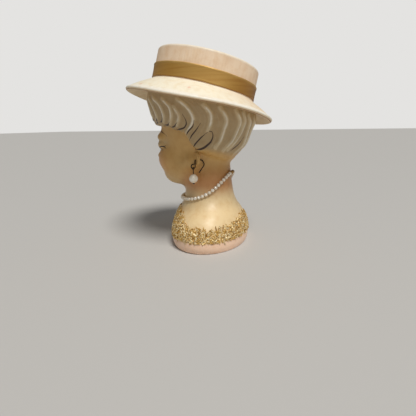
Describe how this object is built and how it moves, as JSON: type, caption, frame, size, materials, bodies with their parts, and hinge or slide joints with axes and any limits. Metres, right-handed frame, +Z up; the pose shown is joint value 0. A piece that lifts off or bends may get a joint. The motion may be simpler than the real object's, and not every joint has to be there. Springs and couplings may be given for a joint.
{
  "type": "head planter",
  "caption": "Hollow ceramic planter shaped as a lady's head and shoulders in a straw boater, open at the crown, with hanging pearl earrings and a pearl necklace.",
  "frame": {"origin": "middle of the foot's flat underside", "axes": "+Z up through the open crown, the face looks along -Y, her left side is +X"},
  "size_m": [0.1347, 0.1328, 0.177],
  "materials": {
    "ceramic_glaze": "painted and gloss glazed, yellowed with age",
    "gilt_trim": "clay shreds washed with worn gold",
    "imitation_pearl": "pearl lacquer",
    "tarnished_wire": "tarnished nearly black",
    "clasp_gilt": "worn gilt",
    "bead_thread": "waxed thread"
  },
  "bodies": {
    "vase": {"cast_body": "ceramic_glaze", "collar_trim": "gilt_trim", "necklace_thread": "bead_thread", "necklace_pearls": "imitation_pearl", "clasp_barrel": "clasp_gilt", "clasp_stud": "clasp_gilt"},
    "left_wire": {"left_ear_wire": "tarnished_wire"},
    "left_pin": {"left_eye_pin": "tarnished_wire"},
    "left_pearl": {"left_drop_pearl": "imitation_pearl"},
    "right_wire": {"right_ear_wire": "tarnished_wire"},
    "right_pin": {"right_eye_pin": "tarnished_wire"},
    "right_pearl": {"right_drop_pearl": "imitation_pearl"}
  },
  "joints": [
    {"name": "left_wire_swing", "type": "hinge", "parent": "vase", "child": "left_wire", "pos_m": [0.0292, -0.002, 0.0826], "axis": [0.7071, -0.7071, 0], "range_deg": [-12, 40]},
    {"name": "left_drop_swing", "type": "hinge", "parent": "left_wire", "child": "left_pin", "pos_m": [0.0321, -0.0049, 0.0772], "axis": [0.7071, 0.7071, 0], "range_deg": [-45, 12]},
    {"name": "left_pearl_spin", "type": "hinge", "parent": "left_pin", "child": "left_pearl", "pos_m": [0.0321, -0.0049, 0.06625], "axis": [0, 0, 1], "continuous": true},
    {"name": "right_wire_swing", "type": "hinge", "parent": "vase", "child": "right_wire", "pos_m": [-0.0292, -0.002, 0.0826], "axis": [0.7071, 0.7071, 0], "range_deg": [-12, 40]},
    {"name": "right_drop_swing", "type": "hinge", "parent": "right_wire", "child": "right_pin", "pos_m": [-0.0321, -0.0049, 0.0772], "axis": [0.7071, -0.7071, 0], "range_deg": [-45, 12]},
    {"name": "right_pearl_spin", "type": "hinge", "parent": "right_pin", "child": "right_pearl", "pos_m": [-0.0321, -0.0049, 0.06625], "axis": [0, 0, 1], "continuous": true}
  ]
}
